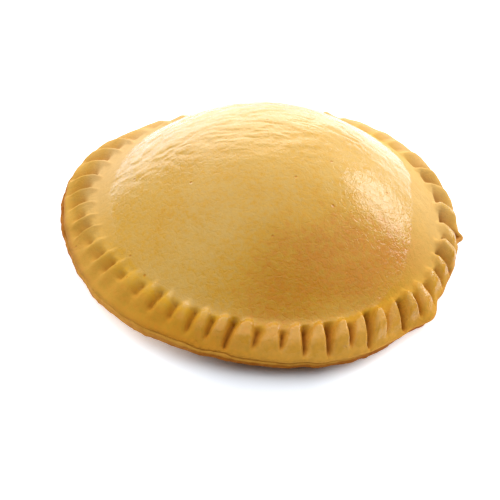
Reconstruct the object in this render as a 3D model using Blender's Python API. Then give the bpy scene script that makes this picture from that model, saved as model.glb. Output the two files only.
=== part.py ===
"""Round double-crust chicken pie, its two crusts crimped together round the rim.

Units are metres and +Z is up. The pie lies on its flat underside with its front towards -Y.
It is two closed solids that meet at the seam which shows round its edge: the domed top crust,
solid down to the seam, and the thin base crust below it. Angles run counterclockwise from +X.
"""

import math

import bmesh
import bpy
from mathutils import Vector

# ---- Driving dimensions -------------------------------------------------------------------
PIE_RADIUS = 0.0703
DOUGH_THICKNESS = 0.003

# How far the hand-cut rim strays from a circle: waves per turn, cosine and sine share.
OUTLINE_WAVES = (
    (1, -0.0109, -0.0072),
    (2, -0.0056, 0.0034),
    (3, -0.0224, 0.0154),
    (4, -0.0064, -0.0063),
    (5, 0.0052, 0.0049),
    (6, 0.0002, -0.0043),
)

# The corner of spare dough at the front right, and a crumb of dough baked on at the right.
CORNER_ANGLE = math.radians(322.5)
CORNER_HALF_WIDTH = math.radians(8.0)
CORNER_REACH = 0.0030
NUB_ANGLE = math.radians(-1.0)
NUB_HALF_WIDTH = math.radians(2.0)
NUB_REACH = 0.0022

# The top crust's lower edge: it stands higher on the left, and droops at the front right.
RIM_HEIGHT = 0.007
RIM_SLOPE_X = -0.0218
RIM_SLOPE_Y = 0.0064
RIM_DROOP = 0.0012
DROOP_ANGLE = math.radians(315.0)
DROOP_HALF_WIDTH = math.radians(48.0)

# The dome, and its round foot, a little right of the middle, where the crimped band starts.
FOOT_RADIUS = 0.0602
FOOT_SHIFT = 0.0019
FOOT_RISE = 0.006
DOME_RISE = 0.0303
DOME_FLATNESS = 2.1
DOME_POWER = 1.12

# The rim in section: the top crust's rounded edge, and the swell of the band above it.
LID_EDGE_HEIGHT = 0.0024
LID_EDGE_ROUND = 0.0012
LID_EDGE_WAIST = 0.45
LID_EDGE_UNDERCUT = 0.0004
LID_OVERHANG = 0.003
BAND_BULGE = 0.0006

# The base crust: its flat underside, and its turned-up edge with a lip against the seam.
FLAT_SHARE = 0.78
SEAM_GAP = 0.0003
SEAM_SHARES = (0.90, 0.74)
BASE_EDGE_HEIGHT = 0.0052
BASE_EDGE_TUCK = 0.0022
BASE_FACE_RISE = 0.0012
BASE_FACE_TUCK = 0.0006
BASE_LIP_DROP = 0.0011
BASE_LIP_ROUND = 0.0009
LOWEST_TUCK = 0.0003

# The base crust lies a little towards the front left: there it shows beyond the top crust, and
# on the far side the top crust hangs over it.
REVEAL_ANGLE = math.radians(215.0)
LID_INSET = 0.0009
BASE_INSET = 0.0015
INSET_DROP = 0.75

# The crimps: how many, and how their spacing drifts (waves per turn, cosine and sine, in crimps).
CRIMP_COUNT = 49
CRIMP_START = 0.30
CRIMP_DRIFT = (
    (1, 0.40, -0.19),
    (2, 0.00, -0.80),
    (3, 0.26, -0.19),
)

# One groove: its depth and length, its steep inner end, how it fades outwards, and how far its
# open end notches the edge.
CRIMP_DEPTH = 0.0026
CRIMP_BULGE = 0.12
CRIMP_WALL = 0.0011
CRIMP_REACH = 0.0072
CRIMP_FADE = 0.35
CRIMP_END_START = 0.70
CRIMP_END = 1.05
SCALLOP_DEPTH = 0.0006

# Where the grooves are deeper (waves per turn, share, angle), and longer or shorter than that
# (middle, half width, change): long at the left, short at the front left, open at the right.
CRIMP_DEPTH_WAVES = ((1, 0.20, math.radians(345.0)), (2, 0.20, math.radians(170.0)))
CRIMP_REACH_CHANGES = (
    (math.radians(182.0), math.radians(45.0), 0.0020),
    (math.radians(235.0), math.radians(50.0), -0.0018),
    (0.0, math.radians(80.0), 0.0015),
)

# Parts of one crimp at which the solid has a column of points; 0 is the bottom of a groove.
CRIMP_COLUMNS = (0.0, 0.13, 0.30, 0.50, 0.70, 0.87)

# The torn edge of the base crust: waves per turn, height of the wave, phase.
TORN_EDGE_WAVES = ((11, 0.00022, 0.4), (19, 0.00018, 2.1), (31, 0.00015, 4.0))

GOLDEN_CRUST = (0.60, 0.36, 0.11, 1.0)
BROWN_CRUST = (0.47, 0.25, 0.07, 1.0)


# ---- Shape rules ---------------------------------------------------------------------------
def smooth_step(start, end, value):
    """Rise smoothly from 0 at start to 1 at end."""
    share = min(1.0, max(0.0, (value - start) / (end - start)))
    return share * share * (3.0 - 2.0 * share)


def angle_between(angle, middle):
    """Signed angle from middle to angle, between -pi and pi."""
    return (angle - middle + math.pi) % math.tau - math.pi


def bump(angle, middle, half_width):
    """A rounded bump that is 1 at middle and 0 from half_width away."""
    share = max(0.0, 1.0 - abs(angle_between(angle, middle)) / half_width)
    return share * share * (3.0 - 2.0 * share)


def outline_radius(angle):
    """Radius of the pie's outermost edge."""
    share = 1.0
    for waves, cosine, sine in OUTLINE_WAVES:
        share += cosine * math.cos(waves * angle) + sine * math.sin(waves * angle)
    return PIE_RADIUS * share + CORNER_REACH * bump(angle, CORNER_ANGLE, CORNER_HALF_WIDTH)


def lid_inset(angle):
    """How far the top crust's edge lies inside the outermost edge."""
    return LID_INSET * (1.0 + math.cos(angle - REVEAL_ANGLE))


def lid_radius(angle):
    """Radius of the top crust's edge."""
    nub = NUB_REACH * bump(angle, NUB_ANGLE, NUB_HALF_WIDTH)
    return outline_radius(angle) - lid_inset(angle) + nub


def base_radius(angle):
    """Radius of the base crust's torn edge."""
    radius = outline_radius(angle) - BASE_INSET * (1.0 - math.cos(angle - REVEAL_ANGLE))
    for waves, height, phase in TORN_EDGE_WAVES:
        radius += height * math.sin(waves * angle + phase)
    return radius


def rim_height(angle, radius):
    """Height of the slightly tilted plane that the top crust's lower edge follows."""
    tilt = RIM_SLOPE_X * math.cos(angle) + RIM_SLOPE_Y * math.sin(angle)
    return RIM_HEIGHT + radius * tilt


def seam_height(angle):
    """Height of the seam between the two crusts at the rim."""
    droop = RIM_DROOP * bump(angle, DROOP_ANGLE, DROOP_HALF_WIDTH)
    return rim_height(angle, outline_radius(angle)) - INSET_DROP * lid_inset(angle) - droop


def foot_radius(angle):
    """Radius of the dome's foot, where the crimped band starts."""
    return FOOT_RADIUS + FOOT_SHIFT * math.cos(angle)


def dome_height(angle, radius):
    """Height of the dome inside its foot."""
    level = rim_height(angle, radius) + FOOT_RISE
    share = min(1.0, radius / foot_radius(angle))
    return level + DOME_RISE * (1.0 - share ** DOME_FLATNESS) ** DOME_POWER


def crimp_phase(angle):
    """Crimps passed up to this angle; a whole number is the bottom of a groove."""
    phase = CRIMP_COUNT * angle / math.tau + CRIMP_START
    for waves, cosine, sine in CRIMP_DRIFT:
        phase += cosine * math.cos(waves * angle) + sine * math.sin(waves * angle)
    return phase


def crimp_angle(phase):
    """Angle at which crimp_phase has this value, by Newton's method."""
    angle = (phase - CRIMP_START) / CRIMP_COUNT * math.tau
    for _ in range(12):
        slope = CRIMP_COUNT / math.tau
        for waves, cosine, sine in CRIMP_DRIFT:
            slope += waves * (sine * math.cos(waves * angle) - cosine * math.sin(waves * angle))
        angle -= (crimp_phase(angle) - phase) / slope
    return angle


def crimp_reach(angle):
    """Length of the grooves at this angle."""
    reach = CRIMP_REACH
    for middle, half_width, change in CRIMP_REACH_CHANGES:
        reach += change * bump(angle, middle, half_width)
    return reach


def crimp_depth(angle):
    """Depth of the grooves at this angle."""
    share = 1.0
    for waves, height, middle in CRIMP_DEPTH_WAVES:
        share += height * math.cos(waves * (angle - middle))
    return CRIMP_DEPTH * share


def crimp_relief(angle, radius):
    """Height that the crimps add: V-shaped grooves between swollen, rounded lobes."""
    distance = max(0.0, radius - foot_radius(angle))
    along = distance / crimp_reach(angle)
    groove = smooth_step(0.0, CRIMP_WALL, distance) * (1.0 - CRIMP_FADE * along)
    groove *= 1.0 - smooth_step(CRIMP_END_START, CRIMP_END, along)
    across = abs(math.sin(math.pi * crimp_phase(angle)))
    lobe = (1.0 + CRIMP_BULGE) * across - 1.0
    return crimp_depth(angle) * groove * lobe


def edge_top_radius(angle):
    """Radius at which the crimped band ends and the rounded edge starts."""
    return lid_radius(angle) - LID_EDGE_ROUND


def surface_point(angle, radius):
    """Point on the top crust, on the dome or on the sloping crimped band."""
    foot = foot_radius(angle)
    if radius <= foot:
        height = dome_height(angle, radius)
    else:
        along = (radius - foot) / (edge_top_radius(angle) - foot)
        top = rim_height(angle, foot) + FOOT_RISE
        low = seam_height(angle) + LID_EDGE_HEIGHT
        height = top + (low - top) * along + BAND_BULGE * math.sin(math.pi * along)
    return polar_point(angle, radius, height + crimp_relief(angle, radius))


def polar_point(angle, radius, height):
    """Point from an angle, a radius and a height."""
    return Vector((radius * math.cos(angle), radius * math.sin(angle), height))


# ---- Mesh building -------------------------------------------------------------------------
def crimp_columns(columns):
    """Angles all round the rim, at the given parts of each crimp."""
    return [crimp_angle(crimp + part) for crimp in range(CRIMP_COUNT) for part in columns]


FINE_ANGLES = crimp_columns(CRIMP_COLUMNS)
TORN_ANGLES = FINE_ANGLES[::2]
MEDIUM_ANGLES = FINE_ANGLES[::3]
COARSE_ANGLES = FINE_ANGLES[::6]

# Rings across the crimped band, from its outer edge (1) to the dome's foot (0) and just inside.
BAND_RINGS = (0.80, 0.56, 0.34, 0.15, 0.0, -0.12)

# Rings over the dome, as shares of its foot radius.
DOME_RINGS = tuple((share, MEDIUM_ANGLES) for share in (0.94, 0.87, 0.78, 0.67, 0.54, 0.41))
DOME_RINGS += tuple((share, COARSE_ANGLES) for share in (0.28, 0.18, 0.08))


def add_ring(mesh, angles, point_at):
    """Add a ring of points, one for each angle."""
    return [mesh.verts.new(point_at(angle)) for angle in angles]


def bridge(mesh, first, second):
    """Join two rings with triangles; one ring may have several times the points of the other."""
    larger, smaller = (first, second) if len(first) >= len(second) else (second, first)
    ratio = len(larger) // len(smaller)
    faces = []
    for index in range(len(smaller)):
        near = smaller[index]
        following = smaller[(index + 1) % len(smaller)]
        fan = [larger[(index * ratio + step) % len(larger)] for step in range(ratio + 1)]
        middle = (ratio + 1) // 2
        for step in range(ratio):
            apex = near if step < middle else following
            faces.append((fan[step], fan[step + 1], apex))
        faces.append((fan[middle], following, near))
    for corners in faces:
        ordered = corners if larger is first else corners[::-1]
        mesh.faces.new(ordered)


def cap(mesh, ring, centre, facing_up):
    """Close a ring with a fan of triangles round a centre point."""
    middle = mesh.verts.new(centre)
    for index, corner in enumerate(ring):
        following = ring[(index + 1) % len(ring)]
        corners = (corner, following, middle) if facing_up else (following, corner, middle)
        mesh.faces.new(corners)


def seam_rings(mesh, offset):
    """Two rings on the seam inside the rim, offset up or down by half the gap."""
    outer_share, inner_share = SEAM_SHARES

    def outer(angle):
        return polar_point(angle, outer_share * outline_radius(angle), seam_height(angle) + offset)

    def inner(angle):
        return polar_point(angle, inner_share * outline_radius(angle), DOUGH_THICKNESS + offset)

    return [add_ring(mesh, COARSE_ANGLES, outer), add_ring(mesh, COARSE_ANGLES, inner)]


def make_object(name, mesh, material):
    """Turn a finished bmesh into a smooth-shaded object with one material."""
    bmesh.ops.recalc_face_normals(mesh, faces=mesh.faces)
    data = bpy.data.meshes.new(name)
    mesh.to_mesh(data)
    mesh.free()
    data.shade_smooth()
    data.materials.append(material)
    piece = bpy.data.objects.new(name, data)
    bpy.context.scene.collection.objects.link(piece)
    return piece


def crust_material(name, colour, roughness):
    """Baked pastry of one colour."""
    material = bpy.data.materials.new(name)
    material.use_nodes = True
    shader = material.node_tree.nodes["Principled BSDF"]
    shader.inputs["Base Color"].default_value = colour
    shader.inputs["Roughness"].default_value = roughness
    shader.inputs["Metallic"].default_value = 0.0
    return material


def build_top_crust():
    """The domed top crust, solid down to the seam, with its crimped rim."""
    mesh = bmesh.new()
    half_gap = SEAM_GAP / 2.0

    def underside(angle):
        return polar_point(angle, lid_radius(angle) - LID_OVERHANG, seam_height(angle) + half_gap)

    def edge_low(angle):
        radius = lid_radius(angle) - LID_EDGE_UNDERCUT
        return polar_point(angle, radius, seam_height(angle) + half_gap)

    def edge_top(angle):
        return surface_point(angle, edge_top_radius(angle))

    def edge_middle(angle):
        seam = seam_height(angle)
        cut = -crimp_relief(angle, edge_top_radius(angle)) / CRIMP_DEPTH
        height = seam + LID_EDGE_WAIST * (edge_top(angle).z - seam)
        return polar_point(angle, lid_radius(angle) - SCALLOP_DEPTH * cut, height)

    rings = seam_rings(mesh, half_gap)[::-1]
    cap(mesh, rings[0], (0.0, 0.0, DOUGH_THICKNESS + half_gap), facing_up=False)
    rings.append(add_ring(mesh, MEDIUM_ANGLES, underside))
    for point_at in (edge_low, edge_middle, edge_top):
        rings.append(add_ring(mesh, FINE_ANGLES, point_at))

    for share in BAND_RINGS:
        def band(angle, share=share):
            foot = foot_radius(angle)
            return surface_point(angle, foot + share * (edge_top_radius(angle) - foot))
        rings.append(add_ring(mesh, FINE_ANGLES, band))

    for share, angles in DOME_RINGS:
        def dome(angle, share=share):
            return surface_point(angle, share * foot_radius(angle))
        rings.append(add_ring(mesh, angles, dome))

    for lower, upper in zip(rings, rings[1:]):
        bridge(mesh, lower, upper)
    cap(mesh, rings[-1], surface_point(0.0, 0.0), facing_up=True)
    return make_object("top_crust", mesh, crust_material("golden_glazed_crust", GOLDEN_CRUST, 0.40))


def build_base_crust():
    """The thin base crust, flat below and turned up to the seam at its torn edge."""
    mesh = bmesh.new()
    half_gap = SEAM_GAP / 2.0

    def flat_edge(angle):
        return polar_point(angle, FLAT_SHARE * outline_radius(angle), 0.0)

    def edge_foot(angle):
        height = max(LOWEST_TUCK, seam_height(angle) - BASE_EDGE_HEIGHT)
        return polar_point(angle, base_radius(angle) - BASE_EDGE_TUCK, height)

    def face_low(angle):
        height = edge_foot(angle).z + BASE_FACE_RISE
        return polar_point(angle, base_radius(angle) - BASE_FACE_TUCK, height)

    def lip(angle):
        return polar_point(angle, base_radius(angle), seam_height(angle) - BASE_LIP_DROP)

    def lip_top(angle):
        radius = base_radius(angle) - BASE_LIP_ROUND
        return polar_point(angle, radius, seam_height(angle) - half_gap)

    flat = add_ring(mesh, COARSE_ANGLES, flat_edge)
    cap(mesh, flat, (0.0, 0.0, 0.0), facing_up=False)
    rings = [flat]
    for point_at in (edge_foot, face_low, lip, lip_top):
        rings.append(add_ring(mesh, TORN_ANGLES, point_at))
    rings += seam_rings(mesh, -half_gap)

    for lower, upper in zip(rings, rings[1:]):
        bridge(mesh, lower, upper)
    cap(mesh, rings[-1], (0.0, 0.0, DOUGH_THICKNESS - half_gap), facing_up=True)
    return make_object("base_crust", mesh, crust_material("baked_base_crust", BROWN_CRUST, 0.65))


def centre_on_ground(pieces):
    """Move the pieces together, so that the middle of their box stands on the origin."""
    corners = [vertex.co for piece in pieces for vertex in piece.data.vertices]
    lowest = Vector(min(corner[axis] for corner in corners) for axis in range(3))
    highest = Vector(max(corner[axis] for corner in corners) for axis in range(3))
    middle = (lowest + highest) / 2.0
    for piece in pieces:
        piece.location = (-middle.x, -middle.y, -lowest.z)


def main():
    """Clear the scene and build the pie."""
    for leftover in list(bpy.data.objects):
        bpy.data.objects.remove(leftover, do_unlink=True)
    centre_on_ground([build_top_crust(), build_base_crust()])


main()
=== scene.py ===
"""A chicken pie: a domed, egg-glazed top crust crimped onto a thin base crust, on a white floor.

Lengths are metres and +Z is up. The front of the pie faces -Y, and angles run counterclockwise
from +X. Each crust is a fine mesh of rings that run from its middle below to its middle above.
Geometry Nodes press the crimps into it and give it its baked skin, and it stands for its plain
solid in the frame.
"""

from __future__ import annotations

import logging
import math
from collections.abc import Callable
from dataclasses import dataclass
from enum import Enum
from functools import partial

import bmesh
import bpy
import numpy as np
from mathutils import Matrix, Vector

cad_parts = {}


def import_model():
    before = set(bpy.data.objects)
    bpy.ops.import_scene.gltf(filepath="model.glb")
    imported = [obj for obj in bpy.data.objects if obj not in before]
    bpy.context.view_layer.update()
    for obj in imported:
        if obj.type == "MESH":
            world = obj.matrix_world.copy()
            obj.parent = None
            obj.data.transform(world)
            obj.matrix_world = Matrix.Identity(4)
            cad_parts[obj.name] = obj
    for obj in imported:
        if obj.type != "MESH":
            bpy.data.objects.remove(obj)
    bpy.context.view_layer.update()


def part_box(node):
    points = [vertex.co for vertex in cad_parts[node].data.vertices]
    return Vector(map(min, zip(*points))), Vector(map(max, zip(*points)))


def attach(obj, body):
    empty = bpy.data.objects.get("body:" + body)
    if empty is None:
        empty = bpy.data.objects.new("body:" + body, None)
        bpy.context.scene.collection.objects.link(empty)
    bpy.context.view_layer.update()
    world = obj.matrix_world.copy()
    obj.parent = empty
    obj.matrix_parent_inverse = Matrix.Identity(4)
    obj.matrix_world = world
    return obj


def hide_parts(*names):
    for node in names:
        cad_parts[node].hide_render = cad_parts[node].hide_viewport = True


LOG = logging.getLogger("chicken_pie")

# Places of the two colours and of the result among a Mix node's sockets.
MIX_UNDER, MIX_OVER, MIX_RESULT = 6, 7, 2

Array = np.ndarray
Curve = Callable[[Array], tuple[Array, Array | float]]
Span = tuple[float, float]
Value = float | int | tuple | str | bpy.types.NodeSocket
Waves = tuple[tuple[int, float, float], ...]


# ---- Small rules ---------------------------------------------------------------------------
def smooth_step(start: Array | float, end: Array | float, value: Array | float) -> Array:
    """Rise smoothly from 0 where value is start to 1 where it is end."""
    share = np.clip((value - start) / (end - start), 0.0, 1.0)
    return share * share * (3.0 - 2.0 * share)


def bump(angle: Array, middle: float, half_width: float) -> Array:
    """A rounded bump over angles, in degrees for middle and half width: 1 at middle, 0 beyond."""
    apart = np.abs((angle - math.radians(middle) + math.pi) % math.tau - math.pi)
    return smooth_step(math.radians(half_width), 0.0, apart)


def waves(angle: Array, terms: Waves) -> Array:
    """Sum of waves round the pie, each given by its count, cosine height and sine height."""
    return sum(c * np.cos(n * angle) + s * np.sin(n * angle) for n, c, s in terms)


def ring(angle: Array, radius: Array, height: Array | float) -> Array:
    """Turn angles, radii and heights into points.

    Args:
        angle: Angles round the pie.
        radius: The points' distances from its middle.
        height: Their heights, or one for all of them.

    Returns:
        One row of x, y and z for each point.
    """
    radius = np.broadcast_to(radius, angle.shape)
    height = np.broadcast_to(height, angle.shape)
    return np.stack((radius * np.cos(angle), radius * np.sin(angle), height), axis=1)


def colour(hex_code: str) -> tuple[float, float, float, float]:
    """Turn an sRGB hex code into a linear colour.

    Args:
        hex_code: Six digits, such as "C8923A".

    Returns:
        Linear red, green, blue and alpha.
    """
    parts = (int(hex_code[place:place + 2], 16) / 255.0 for place in (0, 2, 4))
    linear = (part / 12.92 if part <= 0.04045 else ((part + 0.055) / 1.055) ** 2.4 for part in parts)
    return (*linear, 1.0)


def new_object(name: str, data: bpy.types.ID) -> bpy.types.Object:
    """Link a new object to the scene.

    Args:
        name: Its name.
        data: Its mesh, light or camera.

    Returns:
        The object.
    """
    item = bpy.data.objects.new(name, data)
    bpy.context.scene.collection.objects.link(item)
    return item


def new_material(name: str) -> tuple[bpy.types.Material, bpy.types.NodeTree, bpy.types.Node]:
    """Start a material.

    Args:
        name: Its name.

    Returns:
        The material, its node tree and its shader.
    """
    material = bpy.data.materials.new(name)
    material.use_nodes = True
    return material, material.node_tree, material.node_tree.nodes["Principled BSDF"]


def set_inputs(tree: bpy.types.NodeTree, node: bpy.types.Node,
               inputs: dict[str | int, Value]) -> None:
    """Give a node's inputs their values or links.

    Args:
        tree: The node tree that the node is in.
        node: The node.
        inputs: Values or output sockets by the input's name or place.
    """
    for name, value in inputs.items():
        if isinstance(value, bpy.types.NodeSocket):
            tree.links.new(value, node.inputs[name])
        else:
            node.inputs[name].default_value = value


def add_node(tree: bpy.types.NodeTree, kind: str, settings: dict[str, object] | None = None,
             inputs: dict[str | int, Value] | None = None) -> bpy.types.Node:
    """Add a node with its settings, and give its inputs their values or links.

    Args:
        tree: The node tree that the node joins.
        kind: The node's type, such as "ShaderNodeMath".
        settings: Properties of the node by name.
        inputs: Values or output sockets by the input's name or place.

    Returns:
        The new node.
    """
    node = tree.nodes.new(kind)
    for name, setting in (settings or {}).items():
        setattr(node, name, setting)
    set_inputs(tree, node, inputs or {})
    return node


def add_steps(tree: bpy.types.NodeTree, known: dict[str, Value],
              steps: tuple[tuple, ...]) -> dict[str, Value]:
    """Add a chain of nodes that works out named numbers.

    Args:
        tree: The node tree that the nodes join.
        known: Sockets and numbers that the steps may name.
        steps: One (result, operation, operand, ...) for each node; an operand is a name or a number.
            SMOOTHSTEP rises from where the value is its second operand to where it is its third.

    Returns:
        Known and every result, by name.
    """
    values = dict(known)
    for result, operation, *operands in steps:
        inputs = {place: values[item] if isinstance(item, str) else item
                  for place, item in enumerate(operands)}
        kind, setting = "ShaderNodeMath", "operation"
        if operation == "SMOOTHSTEP":
            kind, setting = "ShaderNodeMapRange", "interpolation_type"
        values[result] = add_node(tree, kind, {setting: operation}, inputs).outputs[0]
    return values


# ---- The shape of the pie ------------------------------------------------------------------
class Around:
    """A value that changes round the pie: a base value and the rounded bumps on it."""

    def __init__(self, base: float, *bumps: tuple[float, float, float]) -> None:
        """Keep the base value and the bumps.

        Args:
            base: The value away from every bump.
            bumps: Each bump's height and then, in degrees, its middle and its half width.
        """
        self.base = base
        self.bumps = bumps

    def at(self, angle: Array) -> Array:
        """The value at these angles, where bumps that overlap add up."""
        return self.base + sum(height * bump(angle, *place) for height, *place in self.bumps)

    def highest(self, angle: Array) -> Array:
        """The value at these angles, where only the highest of the bumps counts."""
        heights = [height * bump(angle, *place) for height, *place in self.bumps]
        return self.base + np.maximum.reduce(heights)


@dataclass(frozen=True)
class Patch:
    """A patch of the lid: its strength round the pie, and the span over which it fades in.

    The span is in shares of the foot's radius: 0 is the top of the dome and 1 is its foot.
    """

    strength: Around
    span: Span

    def at(self, angle: Array, share: Array) -> Array:
        """How strong the patch is at these angles and shares of the foot's radius."""
        return self.strength.at(angle) * smooth_step(*self.span, share)


@dataclass(frozen=True)
class Rim:
    """The hand-cut rim: its outline, its two edges and the seam between them.

    Round the reveal angle the lid's edge lies further in, so that the base crust shows below it. On
    the other side the base crust's edge lies further in.
    """

    # Waves as (count, cosine height, sine height): shares of the radius, or metres for the seam.
    radius: float = 0.0703
    outline_waves: Waves = (
        (1, -0.0109, -0.0072),
        (2, -0.0056, 0.0034),
        (3, -0.0224, 0.0154),
        (4, -0.0064, -0.0063),
        (5, 0.0052, 0.0049),
        (6, 0.0002, -0.0043),
        (23, 0.0009, 0.0006),
        (37, -0.0007, 0.0010),
        (53, 0.0008, 0.0004),
    )
    seam_waves: Waves = ((19, 0.00012, -0.00009), (31, -0.00008, 0.00012), (46, 0.00009, 0.00006))
    # How far the corner of spare dough at the front right and the crumb at the right stand out.
    corner: Around = Around(0.0, (0.0030, 322.5, 8.0))
    crumb: Around = Around(0.0, (0.0020, -1.0, 2.8))
    # The tilted plane that the lid's edge follows, and how far the seam hangs below it.
    height: float = 0.007
    slope_x: float = -0.0218
    slope_y: float = 0.0064
    droop: Around = Around(0.0, (0.0012, 315.0, 48.0), (-0.0010, 238.0, 34.0))
    # How far the edges lie inside the outline. The seam is lower by a share of the lid's inset.
    reveal_angle: float = math.radians(215.0)
    lid_inset: float = 0.0007
    base_inset: float = 0.0015
    base_reach: Around = Around(0.0, (-0.0007, 216.0, 32.0), (0.0003, 182.0, 20.0))
    inset_drop: float = 0.75
    # The dome's foot, which lies a little to the right and is tucked in at the right.
    foot_radius: float = 0.0602
    foot_shift: float = 0.0019
    foot_tuck: Around = Around(0.0, (0.0014, 8.0, 40.0))

    def outline(self, angle: Array) -> Array:
        """Radius of the outermost edge, with its corner of spare dough at the front right."""
        return self.radius * (1.0 + waves(angle, self.outline_waves)) + self.corner.at(angle)

    def inset(self, angle: Array) -> Array:
        """How far the lid's edge lies inside the outline."""
        return self.lid_inset * (1.0 + np.cos(angle - self.reveal_angle))

    def lid(self, angle: Array) -> Array:
        """Radius of the lid's edge, with the crumb baked onto it at the right."""
        return self.outline(angle) - self.inset(angle) + self.crumb.at(angle)

    def base(self, angle: Array) -> Array:
        """Radius of the base crust's edge."""
        inset = self.base_inset * (1.0 - np.cos(angle - self.reveal_angle))
        return self.outline(angle) - inset + self.base_reach.at(angle)

    def plane(self, angle: Array, radius: Array) -> Array:
        """Height of the slightly tilted plane that the lid's edge follows."""
        return self.height + radius * (self.slope_x * np.cos(angle) + self.slope_y * np.sin(angle))

    def seam(self, angle: Array) -> Array:
        """Height of the seam between the two crusts at the rim."""
        level = self.plane(angle, self.outline(angle)) - self.inset_drop * self.inset(angle)
        return level - self.droop.at(angle) + waves(angle, self.seam_waves)

    def foot(self, angle: Array) -> Array:
        """Radius of the dome's foot, where the crimped band starts."""
        return self.foot_radius + self.foot_shift * np.cos(angle) - self.foot_tuck.at(angle)


@dataclass(frozen=True)
class Crimps:
    """The row of finger crimps that seals the rim: pressed grooves between swollen lobes."""

    # The spacing: more crimps at the left than elsewhere, and drift and lag in crimps.
    count: int = 50
    start: float = -0.70
    crowded: float = 1.0
    crowded_span: Span = (math.radians(143.0), math.radians(217.0))
    drift: Waves = ((1, 0.40, -0.19), (2, 0.00, -0.80), (3, 0.26, -0.19), (7, 0.04, 0.03),
                    (11, 0.03, -0.04), (17, -0.04, 0.02))
    lag: Around = Around(0.0, (0.48, 308.0, 45.0))
    solver_rounds: int = 24
    # Degrees by which a groove's outer end lags behind its inner end.
    lean: Around = Around(0.0, (3.2, 308.0, 34.0), (1.6, 268.0, 26.0), (3.6, 8.0, 42.0))
    # The grooves' depth: most at the front right, with less of it kept at the back and front left.
    depth: Around = Around(0.0019, (0.0016, 333.0, 145.0), (0.0012, 314.0, 50.0),
                                   (0.0011, 182.0, 46.0), (0.0015, 2.0, 42.0))
    kept_depth: Around = Around(1.0, (-0.62, 124.0, 46.0), (-0.78, 54.0, 48.0), (-0.28, 242.0, 26.0))
    # How far outside the foot a groove starts, and the length of its inner end.
    start_gap: Around = Around(-0.0009, (0.0022, 292.0, 62.0), (0.0030, 170.0, 65.0))
    wall: Around = Around(0.0013, (0.0018, 185.0, 80.0), (0.0016, 290.0, 70.0))
    # Share of its depth that a groove loses towards the edge, and where it ends as a share of the
    # band: past the edge, except along the front left.
    fade: Around = Around(0.25, (0.33, 190.0, 75.0))
    openness: Around = Around(1.04, (0.16, 350.0, 60.0), (-0.46, 228.0, 46.0), (-0.20, 290.0, 42.0))
    # Power that narrows the grooves, and what is added to it at their inner and at their outer ends.
    narrowness: Around = Around(1.0, (1.2, 258.0, 66.0), (1.2, 333.0, 60.0))
    pinch: Around = Around(-0.15, (-0.3, 295.0, 75.0))
    taper: Around = Around(0.0, (2.6, 298.0, 80.0))
    # The lobes: where in its lobe the crest is, and how round it is, with more along the front. The
    # swell starts beyond the groove's start and fades out over a span of the band.
    peak: Around = Around(0.5, (0.24, 298.0, 80.0), (0.17, 5.0, 46.0), (-0.22, 185.0, 62.0))
    sharp_crest: float = 0.10
    round_crest: Around = Around(0.34, (-0.272, 5.0, 40.0))
    round_middle: float = math.radians(310.0)
    round_span: Span = (-0.3, 0.6)
    swell_gap: float = 0.0009
    swell_length: Around = Around(0.0030, (0.0006, 180.0, 90.0))
    swell_end: Span = (1.0, 0.45)

    def crowding(self, angle: Array) -> Array:
        """Crimps by which the count is ahead of an even spread, for the crowd at the left."""
        turned = angle % math.tau
        return self.crowded * (smooth_step(*self.crowded_span, turned) - turned / math.tau)

    def phase(self, angle: Array) -> Array:
        """Crimps passed up to this angle; a whole number is the bottom of a groove."""
        even = self.count * angle / math.tau + self.start + self.crowding(angle)
        return even + waves(angle, self.drift) - self.lag.at(angle)

    def columns(self, per_crimp: int) -> tuple[Array, Array]:
        """Spread columns evenly over every crimp.

        Args:
            per_crimp: Columns of points for each crimp.

        Returns:
            The phase and the angle of every column round the pie.
        """
        phase = np.arange(self.count * per_crimp) / per_crimp
        angle = (phase - self.start) / self.count * math.tau
        # The slope leaves the crowd and the lag out, so that it takes a few more rounds.
        for _ in range(self.solver_rounds):
            slope = self.count / math.tau
            slope = slope + sum(n * (s * np.cos(n * angle) - c * np.sin(n * angle))
                                for n, c, s in self.drift)
            angle = angle - (self.phase(angle) - phase) / slope
        return phase, angle

    def crest(self, angle: Array) -> Array:
        """Roundness of the lobes' crests: sharp at the left and right, round at the front."""
        front = smooth_step(*self.round_span, np.cos(angle - self.round_middle))
        return self.sharp_crest + self.round_crest.at(angle) * front

    def values(self, phase: Array, angle: Array, outside: Array, width: Array,
               hold: float) -> dict[str, Array]:
        """Point attributes that the crimps' tree follows.

        Args:
            phase: Crimps passed up to each point.
            angle: Angle of each point.
            outside: How far each point lies outside the foot.
            width: Width of the band at each point.
            hold: Share of its depth that the relief keeps on this ring.

        Returns:
            The attributes by name.
        """
        distance = np.maximum(0.0, outside)
        begun = outside - self.start_gap.at(angle)
        return {
            "phase": phase,
            "along": distance / (width * self.openness.at(angle)),
            "inner": begun / self.wall.at(angle),
            "lobed": 1.0 + (begun - self.swell_gap) / self.swell_length.at(angle),
            "rounded": smooth_step(*self.swell_end, distance / width),
            "depth": self.kept_depth.at(angle) * self.depth.at(angle) * hold,
            "crest": self.crest(angle),
            "peak": self.peak.at(angle),
            "fade": self.fade.at(angle),
            "narrowness": self.narrowness.at(angle),
            "pinch": self.pinch.at(angle),
            "taper": self.taper.at(angle),
        }


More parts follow.
